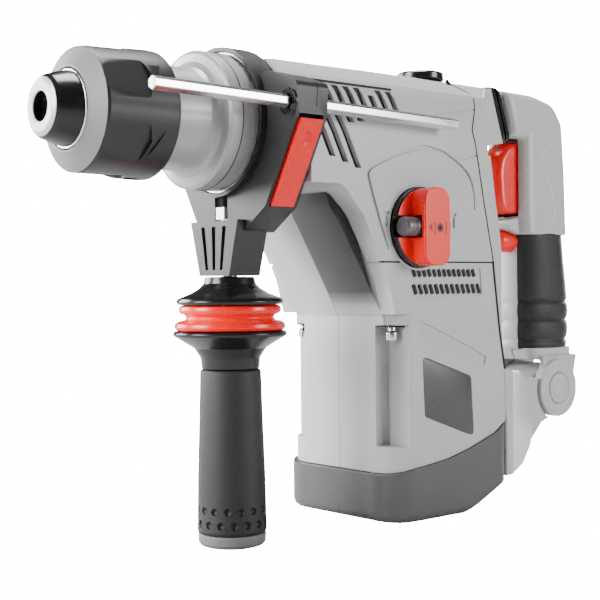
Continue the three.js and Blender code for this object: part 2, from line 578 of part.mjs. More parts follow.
// ---- side handle ----
function buildSideHandle() {
  const axis = [HANDLE_X, 0, 0];
  const place = ([y, z, radius]) => [y, z + SPINDLE_Z, radius];
  const holder = outline([[-61, 14, 4], [-59.5, -2], [-36, -44], [-18, -56], [18, -56], [34, -28], [26, 4],
    [-38, 22, 6]].map(place));
  const foot = outline([[-20, -50], [-12.5, -78], [12.5, -78], [20, -50]].map(place));
  const recess = outline([[-66, -1], [-54, -1], [-34.5, -39.5], [-36, -47], [-48, -44]].map(place));
  const bracket = slab('x', holder, -125, -105)
    .add(slab('x', foot, HANDLE_X - 10, HANDLE_X + 10))
    .add(pin('x', 38.2, -128.5, -114.5, SPINDLE, 28))
    .subtract(pin('x', 36.1, -140, -100, SPINDLE, 28))
    .subtract(pin('x', BROW_RADIUS + 0.7, -114.5, -100, SPINDLE, 48))
    .subtract(slab('x', recess, -122.7, -107.3))
    .subtract(rodBody(3.9, 60, 20))
    .subtract(pin('z', 4.4, 130, 170, axis, 20))
    .subtract(pin('z', 7.4, 160, 180, axis, 20));
  add('clamp_bracket', DARK, bracket);
  add('clamp_band', STEEL, ring('x', 34.2, 35.8, -127, -117, SPINDLE, 28));
  add('clamp_bolt', STEEL, pin('z', 4, 96, 163, axis, 20).add(pin('z', 6.6, 162, 168, axis, 6)));
  const lever = outline([[-60.6, -3.3], [-57, -3], [-35, -41.5], [-37.2, -44.2], [-49, -24]].map(place));
  add('depth_lever', RED, slab('x', lever, -122.2, -107.8));
  add('depth_rod', STEEL, rodBody(3.35, 195, 6));
  add('upper_flange', BLACK, turned('z', [
    [132.6, 4.4], [132.6, 12.6], [129, 13.6], [125.5, 17], [123, 22.5], [121.8, 27.2], [118.3, 27.2], [118.3, 4.4],
  ], axis));
  add('damper_ring', RED, turned('z', [
    [118, 8], [118, 25.4], [115.8, 26.4], [113.6, 25.4], [113, 22.6], [110, 22.6], [109.4, 27.6],
    [107.2, 28.6], [105, 27.6], [105, 8],
  ], axis));
  add('grip_core', BLACK, turned('z', [
    [104.7, 4.4], [104.7, 28.8], [103.4, 29.4], [102, 29], [99.5, 24], [96, 18], [91, 15.2], [85.3, 14.9],
    [85.3, 9], [4, 9], [4, 4.4],
  ], axis));
  add('grip_sleeve', RUBBER, turned('z', [
    [85, 9.3], [85, 15.6], [60, 16.4], [30, 17.4], [1.7, 17.9], [1.7, 9.3],
  ], axis));
  add('grip_end_cap', DARK, turned('z', [
    [1.4, 0], [1.4, 17.6], [-3.2, 17.4], [-5, 16], [-5.5, 14.5], [-5.5, 0],
  ], axis));
}

// The depth rod's body, tilted a little nose up, also used as its own bore.
function rodBody(radius, length, sides) {
  const geometry = new THREE.CylinderGeometry(radius, radius, length, sides);
  geometry.rotateZ(-Math.PI / 2);
  geometry.rotateY(ROD_TILT);
  return solid(geometry.translate(...ROD_CENTRE));
}

// ---- mode knob ----
function buildKnob() {
  const centre = [KNOB_X, 0, KNOB_Z];
  const bar = outline([
    [KNOB_X - 9.7, KNOB_Z - 20.6, 6], [KNOB_X + 9.7, KNOB_Z - 20.6, 6],
    [KNOB_X + 9.7, KNOB_Z + 20.6, 6], [KNOB_X - 9.7, KNOB_Z + 20.6, 6],
  ]);
  const knob = pin('y', 21.3, -51, -43.5, centre, 36)
    .add(pin('y', 7, -44, -38.8, centre))
    .add(slab('y', bar, -61, -50))
    .subtract(box([KNOB_X - 25, -58.5, KNOB_Z - 5.8], [KNOB_X - 3.2, -48.2, KNOB_Z + 5.8]));
  add('mode_knob', RED, knob);
  add('knob_button', ALLOY, box([KNOB_X - 19, -57.8, KNOB_Z - 5.3], [KNOB_X - 5.8, -48.6, KNOB_Z + 5.3]));
}

// ---- D-handle ----
function buildRearHandle() {
  const side = outline([
    [77.2, 247], [108, 245, 14], [128, 241, 14], [137, 229, 12], [139.5, 197], [141.2, 150], [145.8, 118],
    [145.2, 90], [143, 79.6], [106, 79.6], [101, 90], [101, 150], [98.5, 170], [98.5, 217], [87.3, 217.5],
  ]);
  const lip = outline([[104, 150], [101, 150], [98, 158], [90, 161.5, 3], [86, 166.5, 2], [99, 168.6], [104, 168.6]]);
  const ear = circle(PIVOT_X, PIVOT_Z, 18, 28);
  const neck = outline([[112, 82], [110, 66], [141, 60], [146, 82]]);
  const inside = box([70, -11.5, 225], [132, 11.5, 239])
    .add(box([104, -13, 166], [134, 13, 227]))
    .add(box([108, -12, 84], [137, 12, 167]));
  let body = softSlab('y', side, -HANDLE_HALF, HANDLE_HALF, HANDLE_EDGE).add(slab('y', lip, -10, 10));
  const ears = slab('y', ear, -21.5, 21.5).add(slab('y', neck, -18, 18))
    .subtract(box([90, -15, 40], [160, 15, 79.3]));
  body = body.add(ears).subtract(inside)
    .subtract(pin('y', 5.3, -40, 40, [PIVOT_X, 0, PIVOT_Z]))
    .subtract(pin('y', 9.9, -40, -19.5, [PIVOT_X, 0, PIVOT_Z]))
    .subtract(pin('y', 9.9, 19.5, 40, [PIVOT_X, 0, PIVOT_Z]))
    .subtract(box([80, -9.6, 169.5], [110, 9.6, 218]))
    .subtract(pin('x', 7.4, 90, 112, [0, 0, 154], 20));
  add('handle_left', SHELL, half(body, -1));
  add('handle_right', SHELL, half(body, 1));
  const wrap = outline([[112, 88.5], [147.8, 88], [149, 114], [144.5, 150], [142, 176], [128, 160], [112, 154]]);
  const core = softSlab('y', inset(side, -GAP), -HANDLE_HALF - GAP, HANDLE_HALF + GAP, HANDLE_EDGE);
  add('soft_grip', RUBBER, softSlab('y', wrap, -HANDLE_HALF - 2.2, HANDLE_HALF + 2.2, HANDLE_EDGE).subtract(core));
  const trigger = outline([[83.5, 208], [79.4, 196], [80.6, 178], [84.5, 171], [104, 171], [106, 190], [100, 216], [91, 216]]);
  add('trigger', RED, softSlab('y', trigger, -9, 9, 3));
  add('lock_button', RED, turned('x', [[84.5, 0], [85.5, 3.6], [88, 6], [91, 7], [106, 7], [106, 0]], [0, 0, 154], 20));
  add('switch_body', BLACK, box([111, -12, 170], [133, 12, 215]));
  add('pivot_pin', STEEL, pin('y', 5, -19, 19, [PIVOT_X, 0, PIVOT_Z]));
  for (const [name, face] of [['left', -1], ['right', 1]]) {
    const [low, high] = face < 0 ? [-22, -19.8] : [19.8, 22];
    add(`pivot_cap_${name}`, SHELL, pin('y', 9.5, low, high, [PIVOT_X, 0, PIVOT_Z], 28));
  }
}

buildHousing();
buildNose();
buildDrive();
buildSpindle();
buildSleeve();
buildSideHandle();
buildKnob();
buildRearHandle();

export default model;
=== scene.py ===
import json
import math
import bpy
import bmesh
from mathutils import Matrix, Vector


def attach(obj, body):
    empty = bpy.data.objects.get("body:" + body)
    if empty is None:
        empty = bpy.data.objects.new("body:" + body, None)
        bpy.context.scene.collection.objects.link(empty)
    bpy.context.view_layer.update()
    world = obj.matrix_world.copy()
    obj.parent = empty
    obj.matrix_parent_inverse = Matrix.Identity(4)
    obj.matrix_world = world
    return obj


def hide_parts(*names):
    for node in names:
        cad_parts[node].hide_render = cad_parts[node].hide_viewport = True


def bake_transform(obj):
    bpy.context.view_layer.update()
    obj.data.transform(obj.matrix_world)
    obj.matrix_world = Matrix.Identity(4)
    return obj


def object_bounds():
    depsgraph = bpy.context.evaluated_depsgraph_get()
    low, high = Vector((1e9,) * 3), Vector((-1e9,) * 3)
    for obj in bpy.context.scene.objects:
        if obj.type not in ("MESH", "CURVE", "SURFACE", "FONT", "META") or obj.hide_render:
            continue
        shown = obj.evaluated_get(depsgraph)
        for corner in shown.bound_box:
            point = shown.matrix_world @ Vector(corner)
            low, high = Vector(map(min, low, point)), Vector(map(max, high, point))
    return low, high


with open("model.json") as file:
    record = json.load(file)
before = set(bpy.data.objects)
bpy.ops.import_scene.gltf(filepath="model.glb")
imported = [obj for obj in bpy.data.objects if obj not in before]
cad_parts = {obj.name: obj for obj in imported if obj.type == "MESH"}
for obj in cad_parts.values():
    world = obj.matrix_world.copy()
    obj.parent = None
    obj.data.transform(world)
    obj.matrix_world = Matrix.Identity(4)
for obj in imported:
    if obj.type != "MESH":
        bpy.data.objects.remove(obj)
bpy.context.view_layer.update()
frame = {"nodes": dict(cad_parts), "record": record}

# Sizes and places are in millimetres, as in the CAD. What is set on or read from Blender as it is, such as
# the camera, the lights, the grain, a face's centre and the bellows' blend, is in metres.
MM = 0.001
SPINDLE_Z = 211.0
HANDLE_X = -120.0
KNOB_X = -28.6
KNOB_Z = 158.0
PIVOT_X = 123.0
PIVOT_Z = 61.5
SEAM_Z = 139.6
SCREW_X = -39
SCREW_Y = 36
GREASE_CAP_X = 22
CABLE_X = 79
OUTSIDE = 60
GRAIN_HEIGHT = 0.0001
WHITE = (1, 1, 1, 1)
SIDES = ((-1, "left"), (1, "right"))


# ---- camera ----
def make_camera():
    camera = bpy.data.objects.new("camera", bpy.data.cameras.new("camera"))
    right = Vector((0.7597423, -0.65014816, -0.00994972))
    up = Vector((0.01583894, 0.0032071, 0.99986941))
    placed = Matrix((right, up, right.cross(up))).transposed().to_4x4()
    placed.translation = Vector((-0.507716, -0.508687, 0.128390))
    camera.matrix_world = placed
    camera.data.lens = 74.46
    camera.data.sensor_width = 36
    camera.data.clip_start = 0.01
    bpy.context.scene.collection.objects.link(camera)
    bpy.context.scene.camera = camera


make_camera()


# ---- shaders ----
class Value:
    """A socket that can be used in sums; every sum adds a Math node."""

    def __init__(self, graph, socket):
        self.graph = graph
        self.socket = socket

    def math(self, operation, first, second=None, third=None):
        values = [v for v in (first, second, third) if v is not None]
        made = self.graph.node("ShaderNodeMath", {"operation": operation}, dict(enumerate(values)))
        return Value(self.graph, made.outputs[0])

    def __add__(self, other):
        return self.math("ADD", self, other)

    def __radd__(self, other):
        return self.math("ADD", other, self)

    def __sub__(self, other):
        return self.math("SUBTRACT", self, other)

    def __rsub__(self, other):
        return self.math("SUBTRACT", other, self)

    def __mul__(self, other):
        return self.math("MULTIPLY", self, other)

    def __rmul__(self, other):
        return self.math("MULTIPLY", other, self)

    def __truediv__(self, other):
        return self.math("DIVIDE", self, other)

    def __rtruediv__(self, other):
        return self.math("DIVIDE", other, self)

    def clamped(self, low, high):
        return self.math("MINIMUM", self.math("MAXIMUM", self, low), high)


class Graph:
    """A material's node tree."""

    def __init__(self, name):
        self.material = bpy.data.materials.new(name)
        self.material.use_nodes = True
        self.tree = self.material.node_tree
        self.shader = self.tree.nodes["Principled BSDF"]
        self.place = self.node("ShaderNodeTexCoord").outputs["Object"]

    def node(self, kind, settings=None, inputs=None):
        made = self.tree.nodes.new(kind)
        for key, value in (settings or {}).items():
            setattr(made, key, value)
        for key, value in (inputs or {}).items():
            self.feed(made.inputs[key], value)
        return made

    def feed(self, socket, value):
        if isinstance(value, Value):
            value = value.socket
        if isinstance(value, bpy.types.NodeSocket):
            self.tree.links.new(value, socket)
        else:
            socket.default_value = value

    def noise(self, scale, detail=2.0, stretch=(1, 1, 1), rough=0.5):
        place = self.place
        if stretch != (1, 1, 1):
            place = self.node("ShaderNodeMapping", {}, {"Vector": place, "Scale": stretch}).outputs[0]
        made = self.node("ShaderNodeTexNoise", {}, {
            "Vector": place, "Scale": scale, "Detail": detail, "Roughness": rough})
        return Value(self, made.outputs["Fac"])

    def mix(self, factor, low, high):
        """A colour between two, each given as numbers or as a socket."""
        low, high = [end if isinstance(end, bpy.types.NodeSocket) else (*end, 1) for end in (low, high)]
        return self.node("ShaderNodeMix", {"data_type": "RGBA"}, {0: factor, 6: low, 7: high}).outputs[2]

    def give(self, name, value):
        """Feeds an input of the material's main shader."""
        self.feed(self.shader.inputs[name], value)

    def bump(self, height, strength):
        made = self.node("ShaderNodeBump", {}, {
            "Height": height, "Strength": strength, "Distance": GRAIN_HEIGHT})
        self.give("Normal", made.outputs[0])


def mottle(cloud, grain):
    """A slow and a fine noise as one mask from 0 to 1."""
    return (cloud * 0.6 + grain * 0.5 - 0.05).clamped(0, 1)


def surface(name, low, high, rough, grain, depth, metallic=0.0, coat=0.0, stretch=(1, 1, 1)):
    """A finish with a slow colour change, uneven gloss, and fine moulded or ground grain."""
    graph = Graph(name)
    cloud = graph.noise(28, 4)
    fine = graph.noise(grain, 3, stretch, 0.6)
    smudge = graph.noise(90, 5, (1, 1, 1), 0.65)
    uneven = rough + (smudge - 0.5) * 0.1 + (fine - 0.5) * 0.08
    graph.give("Base Color", graph.mix(mottle(cloud, fine), low, high))
    graph.give("Roughness", uneven.clamped(0.03, 1))
    graph.give("Metallic", metallic)
    graph.give("Coat Weight", coat)
    graph.give("Coat Roughness", 0.08)
    graph.bump(fine, depth)
    return graph.material


# Each finish has a darker and a lighter colour, roughness, grain scale and grain depth, and, where it
# differs from a plain plastic, metallic, coat and stretch.
SHELL_COLOURS = ((0.43, 0.433, 0.436), (0.52, 0.523, 0.526))
LOOKS = {
    "shell_plastic": (*SHELL_COLOURS, 0.40, 2600, 0.25),
    "dark_plastic": ((0.010, 0.0103, 0.0106), (0.020, 0.0205, 0.021), 0.40, 2200, 0.35),
    "black_plastic": ((0.004, 0.004, 0.0045), (0.009, 0.009, 0.010), 0.22, 1600, 0.1),
    "red_plastic": ((0.80, 0.002, 0.0), (0.92, 0.004, 0.0), 0.26, 1500, 0.08, 0.0, 0.05),
    "soft_rubber": ((0.005, 0.0051, 0.0052), (0.011, 0.0112, 0.0115), 0.6, 1500, 0.6),
    "cap_metal": ((0.10, 0.10, 0.105), (0.16, 0.16, 0.165), 0.34, 2400, 0.3, 0.4),
    "bright_steel": ((0.78, 0.79, 0.80), (0.95, 0.95, 0.95), 0.20, 900, 0.12, 1.0, 0.0, (0.06, 1, 1)),
    "gear_steel": ((0.30, 0.31, 0.32), (0.42, 0.43, 0.44), 0.30, 1200, 0.2, 1.0),
    "cast_alloy": ((0.52, 0.53, 0.54), (0.66, 0.67, 0.68), 0.40, 1500, 0.5, 0.8),
    "copper": ((0.70, 0.36, 0.18), (0.85, 0.48, 0.26), 0.30, 1400, 0.2, 1.0),
    "carbon": ((0.012, 0.012, 0.013), (0.028, 0.028, 0.030), 0.8, 2600, 0.6),
}
FINISH = {name: surface(name, *look) for name, look in LOOKS.items()}
# Painted light: a lighter, more orange copy of the knob's red, for its outer face as if lit.
RED_FACE_PAINTED_LIGHT = surface("red_face_painted_light", (0.90, 0.030, 0.008), (0.98, 0.042, 0.012), 0.35, 1500, 0.08)
RED_MARK = surface("red_mark", (0.20, 0.004, 0.002), (0.28, 0.006, 0.003), 0.4, 1500, 0.1)
# Deep black: painted shade in seams, hollows and vent openings, and the colour of the knob's pupil mark.
DEEP = surface("deep_black", (0.001, 0.001, 0.001), (0.002, 0.002, 0.002), 0.7, 1500, 0.3)
CAP_FACE = surface("cap_face", (0.40, 0.40, 0.405), (0.52, 0.52, 0.525), 0.32, 2400, 0.2, 0.3)
COLLAR = surface("collar_grey", (0.12, 0.121, 0.123), (0.17, 0.171, 0.173), 0.5, 3000, 0.35)
BASE_GREY = surface("base_grey", (0.060, 0.061, 0.062), (0.085, 0.086, 0.088), 0.34, 2400, 0.25)
NOSE_GREY = surface("nose_grey", (0.34, 0.343, 0.346), (0.44, 0.443, 0.446), 0.36, 2600, 0.25, 0.3)
PLATE = surface("name_plate", (0.040, 0.041, 0.042), (0.065, 0.066, 0.068), 0.3, 900, 0.12)


def motor_finish_with_painted_shade():
    """The light shell finish, with painted shade making it darker on the left half of the neck, under the
    nose's overhang.
    """
    graph = Graph("motor_shell")
    apart = graph.node("ShaderNodeSeparateXYZ", {}, {"Vector": graph.place})
    x, y, z = (Value(graph, apart.outputs[i]) for i in range(3))
    cloud = graph.noise(28, 4)
    grain = graph.noise(2600, 3, (1, 1, 1), 0.6)
    left = ((y * -1) / 0.0004).clamped(0, 1)
    outward = ((y * -1) / 0.030).clamped(0, 1)
    ahead = ((x * -1 - 0.0455 - (z - 0.112) * 0.35) / 0.003).clamped(0, 1)
    above = ((z - 0.113) / 0.006).clamped(0, 1)
    # Painted shade: this mask blends the neck's left half towards the near-black colour below.
    shade = left * (outward * 0.16 + 0.83) * ahead * above
    light = graph.mix(mottle(cloud, grain), *SHELL_COLOURS)
    graph.give("Base Color", graph.mix(shade, light, (0.012, 0.012, 0.0125)))
    graph.give("Roughness", (0.4 + (cloud - 0.5) * 0.15).clamped(0.03, 1))
    graph.bump(grain, 0.25)
    return graph.material


def paint(piece, *finishes):
    piece.data.materials.clear()
    for finish in finishes:
        piece.data.materials.append(finish)


# The motor shells' finish, with painted shade on the neck's left half.
MOTOR_SHELL_PAINTED_SHADE = motor_finish_with_painted_shade()
SLOT_OF = {part["node"]: part["material_slot"] for part in frame["record"]["subparts"]}
for piece_name, cad in frame["nodes"].items():
    paint(cad, FINISH[SLOT_OF[piece_name]])


# ---- meshes ----
def new_object(name, mesh):
    made = bpy.data.objects.new(name, mesh)
    bpy.context.scene.collection.objects.link(made)
    return made


def from_lists(name, points, faces):
    mesh = bpy.data.meshes.new(name)
    mesh.from_pydata([Vector(p) * MM for p in points], [], faces)
    mesh.validate()
    work = bmesh.new()
    work.from_mesh(mesh)
    bmesh.ops.remove_doubles(work, verts=work.verts, dist=1e-6)
    bmesh.ops.recalc_face_normals(work, faces=work.faces)
    work.to_mesh(mesh)
    work.free()
    return new_object(name, mesh)


def smooth(piece, angle=34):
    for face in piece.data.polygons:
        face.use_smooth = True
    piece.data.set_sharp_from_angle(angle=math.radians(angle))
    return piece


def bake(piece):
    """Swaps a piece's mesh for the result of its modifiers."""
    view = bpy.context.evaluated_depsgraph_get()
    made = bpy.data.meshes.new_from_object(piece.evaluated_get(view), depsgraph=view)
    piece.modifiers.clear()
    old = piece.data
    piece.data = made
    bpy.data.meshes.remove(old)
    return piece


def add_modifier(piece, kind, **settings):
    made = piece.modifiers.new(kind.lower(), kind)
    for key, value in settings.items():
        setattr(made, key, value)
    return made


def rounded(points, radius, steps=4, closed=True):
    """Rounds every corner of a path by a radius, or less where the sides are short."""
    straight, folded, most_of_side = math.radians(172), 0.05, 0.45
    path = [Vector(p) for p in points]
    made = []
    count = len(path)
    for i, corner in enumerate(path):
        before, after = path[i - 1], path[(i + 1) % count]
        if not closed and i in (0, count - 1):
            made.append(corner)
            continue
        a, b = before - corner, after - corner
        if a.length < 1e-6 or b.length < 1e-6:
            continue
        angle = a.angle(b)
        if angle > straight or angle < folded:
            made.append(corner)
            continue
        trim = min(radius / math.tan(angle / 2), a.length * most_of_side, b.length * most_of_side)
        start, end = corner + a.normalized() * trim, corner + b.normalized() * trim
        for k in range(steps + 1):
            t = k / steps
            made.append(start * (1 - t) ** 2 + corner * 2 * t * (1 - t) + end * t ** 2)
    return made


def turned(axis, along, u, w):
    """The point at a distance along an axis and at u, w across it, in the order of x, y and z."""
    return {"x": (along, u, w), "y": (u, along, w), "z": (u, w, along)}[axis]


def walls(count, rows, ring=False):
    """The faces between rows of count points each. In a ring the last row joins the first."""
    faces = []
    for row in range(rows if ring else rows - 1):
        other = (row + 1) % rows
        for i in range(count):
            j = (i + 1) % count
            faces.append((row * count + i, row * count + j, other * count + j, other * count + i))
    return faces


def ends(count, rows):
    """The two faces that close the first and the last row."""
    return [tuple(range(count)), tuple((rows - 1) * count + i for i in range(count))]


def lathe(name, axis, profile, centre, edge=0.5, sides=120):
    """Turns (along, radius) points round an axis. A profile that starts off the axis is a closed ring."""
    on_axis = profile[0][1] == 0 and profile[-1][1] == 0
    line = rounded(profile, edge, closed=not on_axis)
    points = []
    for along, radius in line:
        for k in range(sides):
            turn = 2 * math.pi * k / sides
            spot = turned(axis, along, radius * math.cos(turn), radius * math.sin(turn))
            points.append([a + b for a, b in zip(spot, centre)])
    return smooth(from_lists(name, points, walls(sides, len(line), ring=not on_axis)))


def rectangle(x0, x1, z0, z1):
    return [(x0, z0), (x1, z0), (x1, z1), (x0, z1)]


def prism(name, axis, path, low, high, edge=0.0, steps=3):
    """A closed outline pushed along an axis, its rims rounded by edge.

    Outlines lie in YZ for x, XZ for y and XY for z."""
    outline = [Vector(p[:2]) for p in path]
    count = len(outline)
    area = sum(outline[i - 1].x * outline[i].y - outline[i].x * outline[i - 1].y for i in range(count))
    turn = 1 if area > 0 else -1

    def inset(distance):
        made = []
        for i, point in enumerate(outline):
            a = (point - outline[i - 1]).normalized()
            b = (outline[(i + 1) % count] - point).normalized()
            normal = Vector((-a.y - b.y, a.x + b.x)).normalized()
            made.append(point + normal * turn * distance / max(0.5, normal.dot(Vector((-a.y, a.x)))))
        return made

    turns = [math.pi / 2 * k / steps for k in range(steps + 1)] if edge > 0 else [0]
    rim = [(edge * (1 - math.sin(t)), edge * (1 - math.cos(t))) for t in turns]
    levels = sorted([(low + deep, s) for deep, s in rim] + [(high - deep, s) for deep, s in rim])
    points = [turned(axis, along, p.x, p.y) for along, shrink in levels for p in inset(shrink)]
    return from_lists(name, points, walls(count, len(levels)) + ends(count, len(levels)))


def cad_copy(name, *nodes):
    """The faces of CAD nodes as one clean mesh of large flat faces."""
    work = bmesh.new()
    for node in nodes:
        work.from_mesh(frame["nodes"][node].data)
    points = [tuple(v.co / MM) for v in work.verts]
    faces = [tuple(v.index for v in f.verts) for f in work.faces]
    work.free()
    piece = from_lists(name, points, faces)
    work = bmesh.new()
    work.from_mesh(piece.data)
    bmesh.ops.remove_doubles(work, verts=work.verts, dist=2e-5)
    bmesh.ops.dissolve_limit(work, angle_limit=math.radians(0.6), verts=work.verts, edges=work.edges)
    work.to_mesh(piece.data)
    work.free()
    return piece


def volume(piece):
    work = bmesh.new()
    work.from_mesh(piece.data)
    size = work.calc_volume(signed=True)
    work.free()
    return size


def cut(piece, *cutters):
    """Takes each cutter away in turn, with the plainer solver where the exact one fails.

    A result that has lost most of its volume or has grown is a failure, and the piece stays as it was."""
    least, most = 0.25, 1.0001
    for cutter in cutters:
        before, kept = volume(piece), piece.data.copy()
        for solver in ("EXACT", "FAST"):
            add_modifier(piece, "BOOLEAN", operation="DIFFERENCE", solver=solver, object=cutter)
            bake(piece)
            if before * least < volume(piece) <= before * most:
                break
            piece.data = kept.copy()
        bpy.data.objects.remove(cutter, do_unlink=True)
    return piece


def bevelled(piece, width=0.5, angle=34, segments=2):
    add_modifier(piece, "BEVEL", width=width * MM, segments=segments, limit_method="ANGLE",
                 angle_limit=math.radians(angle), use_clamp_overlap=True, miter_outer="MITER_ARC")
    bake(piece)
    smooth(piece)
    add_modifier(piece, "WEIGHTED_NORMAL", keep_sharp=True)
    return bake(piece)


def moulded(piece, voxel=0.8, passes=6):
    """Rounds a solid all over, as moulded soft plastic is."""
    add_modifier(piece, "REMESH", mode="VOXEL", voxel_size=voxel * MM, use_smooth_shade=True)
    add_modifier(piece, "SMOOTH", factor=0.5, iterations=passes)
    return bake(piece)


def done(piece, body, *nodes, slot=None, finish=None):
    """Gives a piece its finish, ties it to its body and hides the CAD nodes that it stands for.

    The finish "own" leaves the finishes that the piece already has."""
    name = slot or SLOT_OF[nodes[0]]
    if finish != "own":
        paint(piece, finish or FINISH[name])
    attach(piece, body)
    if nodes:
        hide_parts(*nodes)
    return piece


# ---- repeated details ----
def new_tree(name, sockets):
    """A Geometry Nodes tree with the named inputs and one geometry output, and its input sockets."""
    tree = bpy.data.node_groups.new(name, "GeometryNodeTree")
    tree.interface.new_socket("Geometry", in_out="OUTPUT", socket_type="NodeSocketGeometry")
    for label, kind in sockets.items():
        tree.interface.new_socket(label, in_out="INPUT", socket_type="NodeSocket" + kind)
    return tree, tree.nodes.new("NodeGroupInput").outputs


def add_node(tree, kind, settings=None, **inputs):
    """A node with its settings, set first, and its inputs by name, with _ for a space."""
    made = tree.nodes.new(kind)
    for key, value in (settings or {}).items():
        setattr(made, key, value)
    for key, value in inputs.items():
        socket = made.inputs[key.replace("_", " ")]
        if isinstance(value, bpy.types.NodeSocket):
            tree.links.new(value, socket)
        else:
            socket.default_value = value
    return made


def end_tree(tree, spread, finish):
    """Makes the instances real, gives them their finish and closes the tree."""
    real = add_node(tree, "GeometryNodeRealizeInstances", Geometry=spread.outputs[0])
    painted = add_node(tree, "GeometryNodeSetMaterial", Geometry=real.outputs[0], Material=finish)
    tree.links.new(painted.outputs[0], tree.nodes.new("NodeGroupOutput").inputs[0])
    return tree


def row_tree():
    """Rounded blocks in a row: the slots of a vent."""
    tree, given = new_tree("row_of_blocks", {
        "Count": "Int", "Start": "Vector", "Step": "Vector", "Width": "Float", "Height": "Float",
        "Depth": "Float", "Corner": "Float", "Turn": "Vector", "Finish": "Material"})
    line = add_node(tree, "GeometryNodeMeshLine", Count=given["Count"], Offset=given["Step"],
                    Start_Location=given["Start"])
    shape = add_node(tree, "GeometryNodeCurvePrimitiveQuadrilateral", Width=given["Width"],
                     Height=given["Height"])
    fillet = add_node(tree, "GeometryNodeFilletCurve", {"mode": "POLY"}, Curve=shape.outputs[0],
                      Radius=given["Corner"], Count=4, Limit_Radius=True)
    filled = add_node(tree, "GeometryNodeFillCurve", Curve=fillet.outputs[0])
    solid = add_node(tree, "GeometryNodeExtrudeMesh", Mesh=filled.outputs[0],
                     Offset_Scale=given["Depth"], Individual=False)
    flipped = add_node(tree, "GeometryNodeFlipFaces", Mesh=filled.outputs[0])
    closed = add_node(tree, "GeometryNodeJoinGeometry")
    for half in (solid, flipped):
        tree.links.new(half.outputs[0], closed.inputs[0])
    welded = add_node(tree, "GeometryNodeMergeByDistance", Geometry=closed.outputs[0], Distance=1e-6)
    spread = add_node(tree, "GeometryNodeInstanceOnPoints", Points=line.outputs[0],
                      Instance=welded.outputs[0], Rotation=given["Turn"])
    return end_tree(tree, spread, given["Finish"])


def ball_tree():
    """Small balls on a circle about Z: the dimples of a rubber grip."""
    tree, given = new_tree("balls_on_circle", {
        "Count": "Int", "Radius": "Float", "Size": "Float", "Centre": "Vector", "Turn": "Vector",
        "Finish": "Material"})
    circle = add_node(tree, "GeometryNodeMeshCircle", Vertices=given["Count"], Radius=given["Radius"])
    moved = add_node(tree, "GeometryNodeTransform", Geometry=circle.outputs[0],
                     Translation=given["Centre"], Rotation=given["Turn"])
    ball = add_node(tree, "GeometryNodeMeshIcoSphere", Subdivisions=3, Radius=given["Size"])
    spread = add_node(tree, "GeometryNodeInstanceOnPoints", Points=moved.outputs[0],
                      Instance=ball.outputs[0])
    return end_tree(tree, spread, given["Finish"])


def grown(name, tree, **values):
    """A plain mesh made by a Geometry Nodes tree with the given inputs."""
    piece = new_object(name, bpy.data.meshes.new(name))
    modifier = piece.modifiers.new("grow", "NODES")
    modifier.node_group = tree
    for item in tree.interface.items_tree:
        if item.in_out == "INPUT" and item.name in values:
            modifier[item.identifier] = values[item.name]
    return bake(piece)
ROW = row_tree()
BALLS = ball_tree()


def slots(name, count, start, step, width, height, depth, lean, finish, corner):
    """Blocks centred at start and running away from it along Y by depth, leaning by lean degrees."""
    return grown(name, ROW, Count=count, Start=[c * MM for c in start], Step=[c * MM for c in step],
                 Width=width * MM, Height=height * MM, Depth=depth * MM, Corner=corner * MM,
                 Turn=[math.radians(90), math.radians(lean), 0], Finish=finish)


def across(line, i):
    """The direction across a path at its point i."""
    along = (line[min(i + 1, len(line) - 1)] - line[max(i - 1, 0)]).normalized()
    return Vector((-along.y, along.x))


def groove(name, path, widths, low, high):
    """A closed ribbon along a path in XZ, as wide as widths say at each point, pushed along Y."""
    line = [Vector(p) for p in path]
    halves = [across(line, i) * widths[i] / 2 for i in range(len(line))]
    left = [point + half for point, half in zip(line, halves)]
    right = [point - half for point, half in zip(line, halves)]
    return prism(name, "y", left + right[::-1], low, high)


def curve_through(points, steps=6):
    """A smooth path through points."""
    line = [Vector(p) for p in points]
    made = []
    for i in range(len(line) - 1):
        p0, p1, p2, p3 = line[max(i - 1, 0)], line[i], line[i + 1], line[min(i + 2, len(line) - 1)]
        for k in range(steps):
            t = k / steps
            made.append(0.5 * ((2 * p1) + (p2 - p0) * t + (2 * p0 - 5 * p1 + 4 * p2 - p3) * t * t
                               + (3 * p1 - p0 - 3 * p2 + p3) * t ** 3))
    return made + [line[-1]]


def loft(name, rings):
    """A solid through closed rings of equally many points."""
    points = [p for ring in rings for p in ring]
    count, rows = len(rings[0]), len(rings)
    return smooth(from_lists(name, points, ends(count, rows) + walls(count, rows)), 50)


def reach(side, inner, outer=OUTSIDE):
    """The Y range between two distances from the centre plane on one side, lower end first."""
    return sorted((side * inner, side * outer))


# ---- chuck and nose ----
def make_dust_cap(axis):
    face_x = -0.2262
    cap = lathe("dust_cap_shown", "x", [
        (-228, 6.9), (-228, 11.6), (-227.2, 13.6), (-225.2, 15.0), (-222, 16.0), (-218, 17.2),
        (-214.6, 17.8), (-213.5, 17.8), (-213.5, 14.3), (-221.7, 14.3), (-221.7, 6.9)], axis, 0.9)
    paint(cap, FINISH["black_plastic"], CAP_FACE)
    for face in cap.data.polygons:
        if face.center.x < face_x and face.normal.x < -0.35:
            face.material_index = 1
    done(cap, "spindle", "dust_cap", finish="own")
    ring = lathe("cap_root_ring", "x", [
        (-214.7, 17.0), (-214.7, 18.4), (-214.0, 18.9), (-213.4, 18.2), (-213.4, 17.0)], axis, 0.3)
    done(ring, "spindle", slot="bright_steel")


